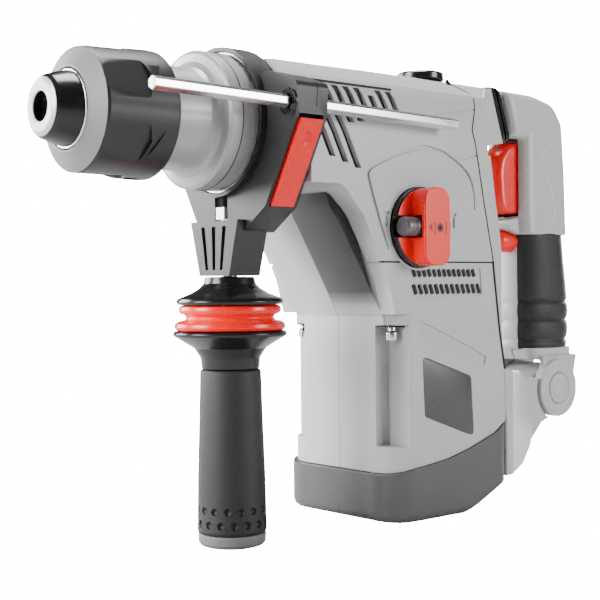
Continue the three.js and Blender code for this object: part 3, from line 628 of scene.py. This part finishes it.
def make_sleeve(axis):
    """The locking sleeve, with six grip panels and a facet behind each."""
    face_x, first_turn, panel_floor, facet_floor, past_rim = -0.2091, 124, 29.4, 30.4, 40
    sleeve = lathe("locking_sleeve_shown", "x", [
        (-214.5, 19.2), (-214.3, 20.4), (-209.9, 29.4), (-208.6, 30.0), (-190, 31.0), (-175, 31.5),
        (-171.4, 31.3), (-170.2, 29.9), (-170, 27.6), (-170, 26.5), (-184, 26.5), (-184, 20.5),
        (-210, 20.5), (-210, 19.2)], axis, 0.5, 180)
    outline = rounded([(-212, -10), (-187.5, -10), (-184.5, 2), (-187.5, 10), (-212, 10)], 1.2)
    cutters = []
    for i in range(6):
        panel = prism("panel", "z", outline, panel_floor, past_rim)
        facet = prism("facet", "z", [(-184.5, -7), (-178.5, 7.5), (-184.5, 7.5)], facet_floor, past_rim)
        for cutter in (panel, facet):
            cutter.data.transform(Matrix.Rotation(math.radians(60 * i + first_turn), 4, "X"))
            cutter.data.transform(Matrix.Translation((0, 0, SPINDLE_Z * MM)))
            cutters.append(cutter)
    cut(sleeve, *cutters)
    bevelled(sleeve, 0.3, 38)
    paint(sleeve, FINISH["dark_plastic"], COLLAR)
    for face in sleeve.data.polygons:
        if face.center.x < face_x and face.normal.x < -0.45:
            face.material_index = 1
    done(sleeve, "sleeve", "locking_sleeve", finish="own")


def make_nose(axis):
    nose = lathe("nose_housing_shown", "x", [
        (-172, 22.4), (-172, 25), (-171.5, 25.5), (-149, 25.5), (-146.5, 26.6), (-145, 29.0),
        (-144.2, 33.0), (-143.2, 34.8), (-130.4, 34.8), (-129.3, 33.8), (-95, 33.8), (-95, 29),
        (-132, 29), (-132, 22.4)], axis, 0.6, 144)
    done(nose, "housing", "nose_housing", finish=NOSE_GREY)
    line = lathe("nose_line", "x", [
        (-137.2, 34.0), (-137.2, 34.95), (-136.6, 34.95), (-136.6, 34.0)], axis, 0.1, 144)
    done(line, "housing", slot="dark_plastic")


def make_chuck():
    axis = (0, 0, SPINDLE_Z)
    make_dust_cap(axis)
    make_sleeve(axis)
    make_nose(axis)


# ---- housing ----
REAR_LINE = [(5.9, 251.1), (14.2, 243.1), (22.9, 235.1), (15.9, 213), (23.9, 175), (31.9, 139.7),
             (37.2, 101), (41.4, 79)]


def seam_cutters(side):
    """The two seams that are open enough to show as dark lines: rear cover and motor shell."""
    upright = groove("seam", REAR_LINE, [1.0] * len(REAR_LINE), *reach(side, 39.5))
    level = groove("seam", [(-62, SEAM_Z), (34, SEAM_Z)], [0.9, 0.9], *reach(side, 43.7))
    return [upright, level]


def side_at(z):
    """Half the body's width at a height."""
    levels = [(0, 46.5), (205, 46.5), (226, 44.0), (233, 41.0), (240.5, 29.0), (260, 29.0)]
    for (z0, y0), (z1, y1) in zip(levels, levels[1:]):
        if z <= z1:
            return y0 + (y1 - y0) * (z - z0) / (z1 - z0)
    return levels[-1][1]


def seam_shade_fill(name, path, width, drop, side):
    """A deep black strip that paints the shade in a seam's gap, its outer face lower than the casing's side
    by drop.
    """
    thick = 2
    line = []
    for a, b in zip(path, path[1:]):
        line += [Vector(a).lerp(Vector(b), k / 6) for k in range(6)]
    line.append(Vector(path[-1]))
    rings = []
    for i, point in enumerate(line):
        half = across(line, i) * width / 2
        out = side_at(point.y) - drop
        rings.append([((point + half * u).x, side * (out - v), (point + half * u).y)
                      for u, v in ((1, 0), (-1, 0), (-1, thick), (1, thick))])
    return loft(name, rings)


def make_seams():
    # Painted shade: deep black strips in the rear cover's and motor shell's seams, where the gap's dark
    # inside would show.
    level = [(-54, SEAM_Z), (31.4, SEAM_Z)]
    for side, name in SIDES:
        parts = [seam_shade_fill(f"seam_rear_shade_{name}", REAR_LINE[1:], 0.9, -0.06, side),
                 seam_shade_fill(f"seam_level_shade_{name}", level, 0.7, 0.4, side)]
        for part in parts:
            done(part, "housing", slot="black_plastic", finish=DEEP)


def tear_groove(side):
    """The long curved groove, which opens slowly and closes again towards its end."""
    tear = curve_through([(-51, 146), (-58, 163), (-65, 182), (-65.4, 186), (-62, 189.5), (-45, 196.5),
                          (-26.4, 200.6), (-12, 199.5), (-2.9, 196.6), (8, 191), (13.3, 185.3),
                          (16, 177), (16.4, 168.8)])
    count = len(tear)
    widths = [min(0.9 + 0.14 * i, max(0.8, 3.4 - 5.0 * max(0, i / count - 0.42))) for i in range(count)]
    return groove("tear", tear, widths, *reach(side, 45.3))


def mark_cutters(x, z, side):
    """A small T: a bar over a stem."""
    deep = reach(side, 45.6)
    return [prism("mark", "y", rectangle(x - 2.2, x + 2.2, z + 4, z + 2.6), *deep),
            prism("mark", "y", rectangle(x - 0.9, x + 0.9, z + 2.2, z - 4), *deep)]


def make_upper():
    for side, name in SIDES:
        shell = cad_copy(f"upper_shell_{name}_shown", f"upper_shell_{name}")
        cutters = [tear_groove(side),
                   groove("crease", [(-17.7, 218.3), (22.1, 225.7)], [0.7, 1.0], *reach(side, 43.6)),
                   groove("under", [(5.2, 196), (19, 199.2)], [0.6, 0.9], *reach(side, 45.7))]
        cutters += seam_cutters(side)
        for x, z in ((-52.3, 161.9), (-0.9, 162.2)):
            cutters += mark_cutters(x, z, side)
        cut(shell, *cutters)
        bevelled(shell, 0.45, 38)
        done(shell, "housing", f"upper_shell_{name}")
        # Painted shade: a deep black sheet behind the vents, for the shade inside the casing.
        lining = prism(f"vent_shade_sheet_{name}", "y", rectangle(-100, -44, 187, 231), *reach(side, 40.5, 42.4))
        done(lining, "housing", slot="black_plastic", finish=DEEP)


def make_rear_vents(side, name):
    """Two rows of slanted slots, dark blocks that stand a hair proud of their recess; their deep black is
    painted shade for the vents' openings.
    """
    count, width, height_in, lean, corner = 13, 2.1, 0.6, -22, 0.5
    side_y = side * (45.52 if side < 0 else 45.5)
    rows = ((-31.5, 15.6, 133.7, 4.3), (-31.0, 19.6, 125.0, 5.6))
    for level, (start_x, end_x, z, height) in enumerate(rows):
        step = (end_x - start_x) / (count - 1)
        # Deep black blocks: painted shade for the open slots.
        vent = slots(f"rear_vent_{name}_{level}", count, (start_x, side_y, z), (step, 0, 0), width, height,
                     -side * height_in, lean, DEEP, corner)
        done(vent, "housing", slot="black_plastic", finish="own")


def make_motor():
    recess = rounded([(-34.5, 121.0), (22.6, 121.0), (21.4, 136.6), (-34.5, 136.6)], 2.5)
    band = curve_through([(-35.0, 108.2), (-10, 98.8), (12, 89.9), (25.0, 84.2)])
    band_widths = [5.2] * (len(band) - 1) + [4.2]
    bed = rounded([(-25.9, 89.3), (13, 76.6), (14.9, 42.5), (-24.4, 56.2)], 3)
    plate = rounded([(-25.5, 88.9), (12.6, 76.4), (14.5, 43.0), (-24.0, 56.6)], 2.8)
    for side, name in SIDES:
        shell = cad_copy(f"motor_shell_{name}_shown", f"motor_shell_{name}")
        cutters = [prism("recess", "y", recess, *reach(side, 45.4)),
                   groove("band", band, band_widths, *reach(side, 45.3)),
                   prism("plate", "y", bed, *reach(side, 45.2))]
        cut(shell, *cutters, *seam_cutters(side))
        bevelled(shell, 0.45, 38)
        done(shell, "housing", f"motor_shell_{name}", finish=MOTOR_SHELL_PAINTED_SHADE)
        label = prism(f"name_plate_{name}", "y", plate, *reach(side, 44.6, 45.7), 0.25)
        done(smooth(label), "housing", slot="dark_plastic", finish=PLATE)
        make_rear_vents(side, name)


def make_housing_screw(side, name):
    """A casing screw with its driver slot, and a deep black floor for the notch that it sits in, painted
    shade for the hollow there.
    """
    y = side * SCREW_Y
    screw = lathe(f"housing_screw_{name}_shown", "z", [
        (98, 0), (98, 3.2), (102, 3.2), (103, 2.2), (105.7, 2.2), (105.7, 0)], (SCREW_X, y, 0), 0.3, 48)
    cut(screw, prism("slot", "z", rectangle(-41.6, -36.4, y - 0.5, y + 0.5), 90, 99))
    smooth(screw)
    done(screw, "housing", f"housing_screw_{name}")
    outline = [(-44, side * 29.6), (-35.2, side * 29.6), (-35.2, side * 42), (-44, side * 38)]
    # Painted shade: a deep black plate for the dark hollow round the screw.
    dark = prism(f"notch_shade_plate_{name}", "z", outline, 105.0, 105.8)
    done(dark, "housing", slot="black_plastic", finish=DEEP)


def make_base():
    cap = cad_copy("base_cap_shown", "base_cap")
    bevelled(cap, 0.5, 30)
    done(cap, "housing", "base_cap", finish=BASE_GREY)
    rear = cad_copy("rear_cover_shown", "rear_cover")
    cut(rear, *seam_cutters(-1), *seam_cutters(1))
    bevelled(rear, 0.6, 26)
    done(rear, "housing", "rear_cover")
    arm = cad_copy("lower_arm_shown", "lower_arm")
    moulded(arm, 0.8, 5)
    done(arm, "housing", "lower_arm")
    grease = lathe("grease_cap_shown", "z", [
        (247.1, 0), (247.1, 14), (250.3, 14), (251.5, 12.8), (251.2, 11.6), (251.2, 0)],
        (GREASE_CAP_X, 0, 0), 0.3)
    hole = [(249, 0), (249, 1.5), (260, 1.5), (260, 0)]
    cut(grease, *[lathe("hole", "z", hole, (GREASE_CAP_X + d, 0, 0), 0.0, 24) for d in (-7, 7)])
    smooth(grease)
    done(grease, "housing", "grease_cap")
    gland = lathe("cable_gland_shown", "z", [
        (17, 4), (17, 6.0), (18.6, 6.4), (19.4, 5.9), (20.6, 6.7), (21.6, 6.1), (23, 7), (36, 7),
        (36, 4)], (CABLE_X, 0, 0), 0.4, 72)
    done(gland, "housing", "cable_gland")
    for side, name in SIDES:
        make_housing_screw(side, name)


# ---- side handle ----
def make_bracket():
    """The clamp bracket with its slots, the band round the nose and the bore that guides the rod."""
    bracket = cad_copy("clamp_bracket_shown", "clamp_bracket")
    cutters = [prism("seam", "x", [(-70, 230), (-70, 214), (-58, 214), (-58, 230)], -112.3, -111.9)]
    for lean in (-1, 0, 1):
        top, foot = lean * 9, lean * 6
        slot = [(top - 1.6, 158), (top + 1.6, 158), (foot + 1.1, 136), (foot - 1.1, 136)]
        cutters.append(prism("slot", "x", slot, -135, -128.4))
    cut(bracket, *cutters)
    bevelled(bracket, 0.7, 32)
    done(bracket, "side_handle", "clamp_bracket")
    band = lathe("clamp_band_shown", "x", [(-127, 34.2), (-127, 35.8), (-117, 35.8), (-117, 34.2)],
                 (0, 0, SPINDLE_Z), 0.3)
    done(band, "side_handle", "clamp_band")
    bore = lathe("rod_bore_ring", "x", [
        (-126.1, 3.7), (-126.1, 6.0), (-125.6, 6.6), (-124.7, 6.6), (-124.7, 3.7)],
        (0, -54.5, 215.78), 0.25, 60)
    done(bore, "side_handle", slot="black_plastic")


def make_side_grip():
    axis = (HANDLE_X, 0, 0)
    flange = lathe("upper_flange_shown", "z", [
        (132.6, 4.4), (132.6, 12.6), (129, 13.6), (126.6, 16), (124.2, 20), (122.4, 24.6), (121.4, 26.8),
        (119.8, 27.6), (118.3, 26.8), (118.3, 4.4)], axis, 0.8)
    done(flange, "side_grip", "upper_flange")
    rings = lathe("damper_ring_shown", "z", [
        (118, 8), (118, 25.0), (117.2, 26.2), (115.4, 26.4), (113.8, 25.6), (113.2, 23.4), (111.8, 22.5),
        (110.6, 23.2), (109.9, 26.6), (108.6, 28.4), (106.8, 28.6), (105.2, 27.6), (105, 8)], axis, 0.7)
    done(rings, "side_grip", "damper_ring")
    core = lathe("grip_core_shown", "z", [
        (104.7, 4.4), (104.7, 28.6), (103.8, 29.4), (102.4, 29.2), (99.6, 24.4), (96, 18.6), (91, 15.4),
        (85.3, 14.9), (85.3, 9), (4, 9), (4, 4.4)], axis, 0.8)
    done(core, "side_grip", "grip_core")
    sleeve = lathe("grip_sleeve_shown", "z", [
        (85, 9.3), (85, 15.0), (84.2, 15.7), (60, 16.4), (30, 17.4), (3, 17.9), (1.7, 17.4),
        (1.7, 9.3)], axis, 0.5, 144)
    around = 16
    dimples = [grown(f"dimples_{i}", BALLS, Count=around, Radius=0.0184, Size=0.0021,
                     Centre=(HANDLE_X * MM, 0, z * MM), Turn=(0, 0, i * math.pi / around),
                     Finish=FINISH["soft_rubber"]) for i, z in enumerate((14, 7))]
    cut(sleeve, *dimples)
    smooth(sleeve, 40)
    done(sleeve, "side_grip", "grip_sleeve")
    end = lathe("grip_end_cap_shown", "z", [
        (1.4, 0), (1.4, 17.6), (-3.2, 17.4), (-4.8, 16.2), (-5.5, 14.0), (-5.5, 0)], axis, 0.9)
    done(end, "side_grip", "grip_end_cap", finish=COLLAR)


def make_side_handle():
    make_bracket()
    make_side_grip()
    rod = cad_copy("depth_rod_shown", "depth_rod")
    bevelled(rod, 0.35, 20, 3)
    done(rod, "depth_rod", "depth_rod")
    lever = cad_copy("depth_lever_shown", "depth_lever")
    dish = lathe("dish", "x", [(-9, 0), (-6.4, 3.2), (-4.5, 5.2), (0, 6.2), (4.5, 5.2), (6.4, 3.2), (9, 0)],
                 (-115, -60.1, 196.6), 0.8, 48)
    cut(lever, dish)
    bevelled(lever, 0.9, 32, 3)
    done(lever, "depth_lever", "depth_lever")


# ---- knob ----
def make_knob_marks():
    """A pointer, two bars and a ring on the knob's face, each a hair proud of it."""
    x, z, top, floor = KNOB_X, KNOB_Z - 0.6, -61.06, -60.8
    marks = [
        prism("mark_a", "y", [(x - 7.2, z), (x - 4.6, z + 2.4), (x - 4.6, z - 2.4)], top, floor),
        prism("mark_b", "y", rectangle(x - 2.9, x - 2.2, z + 3.4, z - 3.4), top, floor),
        lathe("mark_c", "y", [(top, 0), (top, 2.5), (floor, 2.5), (floor, 0)], (x + 1.4, 0, z), 0.0, 48),
        prism("mark_d", "y", rectangle(x + 5.6, x + 6.3, z + 3.4, z - 3.4), top, floor),
    ]
    for mark in marks:
        done(mark, "knob", slot="red_plastic", finish=RED_MARK)
    pupil = [(top - 0.04, 0), (top - 0.04, 1.3), (floor, 1.3), (floor, 0)]
    middle = lathe("mark_e", "y", pupil, (x + 1.4, 0, z), 0.0, 48)
    done(middle, "knob", slot="red_plastic", finish=DEEP)


def make_knob():
    """A disc with a bar across it, notched for the lock button."""
    centre = (KNOB_X, 0, KNOB_Z)
    knob = lathe("mode_knob_shown", "y", [
        (-51, 0), (-51, 20.4), (-50.2, 21.3), (-43.5, 21.3), (-43.5, 7), (-38.8, 7), (-38.8, 0)], centre)
    outline = rounded(rectangle(KNOB_X - 9.7, KNOB_X + 9.7, KNOB_Z - 20.6, KNOB_Z + 20.6), 8.5, 8)
    bar = prism("knob_bar", "y", outline, -61, -49.5, 1.0)
    add_modifier(knob, "BOOLEAN", operation="UNION", solver="EXACT", object=bar)
    bake(knob)
    bpy.data.objects.remove(bar, do_unlink=True)
    gap = rounded(rectangle(KNOB_X - 25, KNOB_X - 3.2, KNOB_Z - 5.8, KNOB_Z + 5.8), 1.2)
    cut(knob, prism("notch", "y", gap, -58.5, -48.2))
    bevelled(knob, 0.35, 40)
    # Slot 1, the lighter red on the knob's outer face, is painted light.
    paint(knob, FINISH["red_plastic"], RED_FACE_PAINTED_LIGHT, FINISH["black_plastic"])
    # Faces nearer the housing than the disc's outer rim, its skirt and stem, are black.
    for face in knob.data.polygons:
        spot = face.center / MM
        if spot.y < -60.5 and face.normal.y < -0.9:
            face.material_index = 1
        elif spot.y > -50.9:
            face.material_index = 2
    done(knob, "knob", "mode_knob", finish="own")
    button = lathe("knob_button_shown", "x", [
        (-47.6, 0), (-47.6, 4.4), (-46.8, 5.2), (-41.6, 5.2), (-41.4, 4.7), (-40.9, 4.7), (-40.7, 5.2),
        (-34.4, 5.2), (-34.4, 0)], (0, -53.2, KNOB_Z), 0.3, 60)
    done(button, "knob_button", "knob_button")
    make_knob_marks()
    rim = lathe("knob_dish", "y", [
        (-46.9, 21.7), (-46.9, 22.5), (-46.5, 23.0), (-46.2, 23.0), (-46.2, 21.7)], centre, 0.2)
    done(rim, "housing", slot="shell_plastic")


# ---- D-handle ----
def grip_outline(z, margin, start=0.0, end=2 * math.pi, count=96):
    """One level of the grip: near an ellipse, narrower in the finger grooves and wider between them."""
    front = 100.6 - max(0, z - 150) * 0.12
    rear = 147.6 + 1.2 * math.sin(math.pi * max(0, min(1, (z - 84) / 60))) - max(0, z - 118) * 0.11
    dip = sum(math.exp(-((z - level) / 1.1) ** 2) for level in (92, 104.5, 116)) * 0.9
    swell = 0.5 * math.sin((z - 92) / 12.2 * math.pi) ** 2 if 92 < z < 116 else 0
    deep, wide = (rear - front) / 2 + swell - dip + margin, 17.4 + swell - dip + margin
    power = 2 / 2.35
    full_turn = end - start > 6.2
    made = []
    for k in range(count):
        turn = start + (end - start) * k / (count if full_turn else count - 1)
        c, d = math.cos(turn), math.sin(turn)
        x = (front + rear) / 2 - deep * math.copysign(abs(c) ** power, c)
        made.append((x, wide * math.copysign(abs(d) ** power, d), z))
    return made


def make_handle_halves():
    line = curve_through([(124.4, 219), (117, 212.5), (112.3, 206.4), (111.9, 203.5), (113.2, 200.8),
                          (121, 186.8), (124.9, 173.7), (123.8, 169.5), (121.8, 166.6), (107.8, 159.4)])
    cap_face = [(19.8, 0), (19.8, 9.5), (21.4, 9.5), (22, 8.8), (21.6, 6.4), (21.9, 5.8), (21.9, 0)]
    for side, name in SIDES:
        shell = cad_copy(f"handle_{name}_shown", f"handle_{name}")
        band = prism("band", "y", rectangle(90, 160, 87, 158), -30, 30)
        cut(shell, band, groove("line", line, [1.1] * len(line), *reach(side, 15.6, 30)))
        moulded(shell, 0.65, 4)
        done(shell, "rear_handle", f"handle_{name}")
        profile = [(side * along, radius) for along, radius in cap_face]
        cap = lathe(f"pivot_cap_{name}_shown", "y", profile, (PIVOT_X, 0, PIVOT_Z), 0.4, 90)
        done(cap, "rear_handle", f"pivot_cap_{name}")


def make_soft_grip():
    """The soft grip with its rounded ends, and the light strip on its front."""
    levels = [86.4 + 0.9 * i for i in range(82)]
    margins = [-0.9, -0.3] + [0.0] * (len(levels) - 4) + [-0.3, -0.9]
    grip = loft("soft_grip_shown", [grip_outline(z, m) for z, m in zip(levels, margins)])
    done(grip, "rear_handle", "soft_grip")
    strip = loft("grip_front_strip", [
        grip_outline(z, m + 0.3, -0.3, 0.3, 13) + grip_outline(z, m - 1.0, 0.3, -0.3, 13)
        for z, m in zip(levels, margins)])
    done(strip, "rear_handle", slot="shell_plastic")


def make_trigger():
    fronts = [(171, 86.5), (172, 84.2), (174, 82.2), (178, 80.8), (186, 80.0), (196, 79.4), (201, 80.2),
              (206, 82.6), (210, 86.0), (213, 90.0), (215, 95.0), (216, 100.0)]
    back_x, bulge = 105, 6.5
    turns = [math.pi / 2 * k / 10 for k in range(-10, 11)]
    rings = []
    for z, front in fronts:
        wide = 9 - 1.6 * (z > 214) - 1.2 * (z < 171.5)
        shape = [(front + bulge * (1 - math.cos(t)), wide * math.sin(t), z) for t in turns]
        rings.append([(back_x, -wide, z)] + shape + [(back_x, wide, z)])
    done(loft("trigger_shown", rings), "trigger", "trigger")


def make_rear_handle():
    make_handle_halves()
    make_soft_grip()
    make_trigger()
    button = lathe("lock_button_shown", "x", [
        (84.5, 0), (84.7, 2.2), (85.6, 4.2), (87.2, 5.8), (89.2, 6.7), (91.5, 7), (106, 7), (106, 0)],
        (0, 0, 154), 0.5, 72)
    done(button, "lock_button", "lock_button")


def make_bellows():
    """Two folds between the housing's stub and the D-handle, leaning as their faces do."""
    half_wide, half_tall, middle_z = 18, 16.5, 229.7
    folds = [(0.35, 1.0), (0.9, 0.0), (2.2, 0.0), (2.6, 1.3), (3.6, 1.3), (4.0, 0.0), (5.4, 0.0),
             (5.8, 1.3), (6.6, 1.3), (7.0, 0.6)]
    outline = rounded(rectangle(-half_wide, half_wide, 213.2, 246.2), 5, 6)
    points = []
    for along, shrink in folds:
        for p in outline:
            y = p.x * (half_wide - shrink) / half_wide
            z = middle_z + (p.y - middle_z) * (half_tall - shrink) / half_tall
            face_x = 64.5 + (247.3 - z) * 11.5 / 34.8
            points.append((face_x + along, y, z))
    count, rows = len(outline), len(folds)
    piece = from_lists("handle_bellows_shown", points, walls(count, rows) + ends(count, rows))
    add_modifier(piece, "SUBSURF", subdivision_type="SIMPLE", levels=1)
    bake(piece)
    smooth(piece, 40)
    paint(piece, FINISH["black_plastic"])
    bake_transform(piece)
    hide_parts("handle_bellows")


make_chuck()
make_upper()
make_seams()
make_motor()
make_base()
make_side_handle()
make_knob()
make_rear_handle()
make_bellows()


# ---- floor and light ----
SKY_STRENGTH = 40.0
MIRRORED_SKY = 0.10


def floor_finish():
    """A pale matt floor that the camera sees mostly as a white glow."""
    graph = Graph("floor")
    graph.give("Base Color", graph.mix(graph.noise(2.0, 1.0), (0.42, 0.42, 0.42), (0.45, 0.45, 0.45)))
    graph.give("Roughness", 0.9)
    seen = Value(graph, graph.node("ShaderNodeLightPath").outputs["Is Camera Ray"])
    glow = graph.node("ShaderNodeEmission", {}, {"Color": WHITE, "Strength": SKY_STRENGTH})
    mixed = graph.node("ShaderNodeMixShader", {}, {
        0: seen * 0.8, 1: graph.shader.outputs[0], 2: glow.outputs[0]})
    graph.tree.links.new(mixed.outputs[0], graph.tree.nodes["Material Output"].inputs[0])
    return graph.material


def make_floor():
    low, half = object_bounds()[0].z / MM, 6000
    corners = [(-half, -half, low), (half, -half, low), (half, half, low), (-half, half, low)]
    floor = from_lists("floor", corners, [(0, 1, 2, 3)])
    if floor.data.polygons[0].normal.z < 0:
        floor.data.flip_normals()
    floor.data.materials.append(floor_finish())


def make_world():
    """White where the camera looks past the object, and dim for everything else."""
    world = bpy.data.worlds.new("studio")
    bpy.context.scene.world = world
    world.use_nodes = True
    nodes, links = world.node_tree.nodes, world.node_tree.links
    path = nodes.new("ShaderNodeLightPath")
    blend = nodes.new("ShaderNodeMixShader")
    links.new(path.outputs["Is Camera Ray"], blend.inputs[0])
    skies = ((nodes["Background"], MIRRORED_SKY), (nodes.new("ShaderNodeBackground"), SKY_STRENGTH))
    for i, (sky, strength) in enumerate(skies):
        sky.inputs[0].default_value = WHITE
        sky.inputs[1].default_value = strength
        links.new(sky.outputs[0], blend.inputs[i + 1])
    links.new(blend.outputs[0], nodes["World Output"].inputs[0])


def make_lamps():
    """Square lamps, each with its place and size in metres and its power in watts."""
    target = Vector((-0.02, 0, 0.15))
    lamps = (("key", (-1.5, 0.35, 0.6), 0.8, 52), ("rim", (-0.6, 1.3, 0.5), 0.8, 38),
             ("top", (0.1, 0.2, 1.5), 0.7, 36), ("fill", (0.75, -1.45, 0.5), 0.7, 22),
             ("back", (1.4, 0.55, 0.35), 0.7, 46))
    for name, place, size, energy in lamps:
        lamp = bpy.data.objects.new(name, bpy.data.lights.new(name, "AREA"))
        lamp.data.energy = energy
        lamp.data.size = size
        lamp.location = place
        lamp.rotation_euler = (target - lamp.location).to_track_quat("-Z", "Y").to_euler()
        bpy.context.scene.collection.objects.link(lamp)


make_floor()
make_world()
make_lamps()
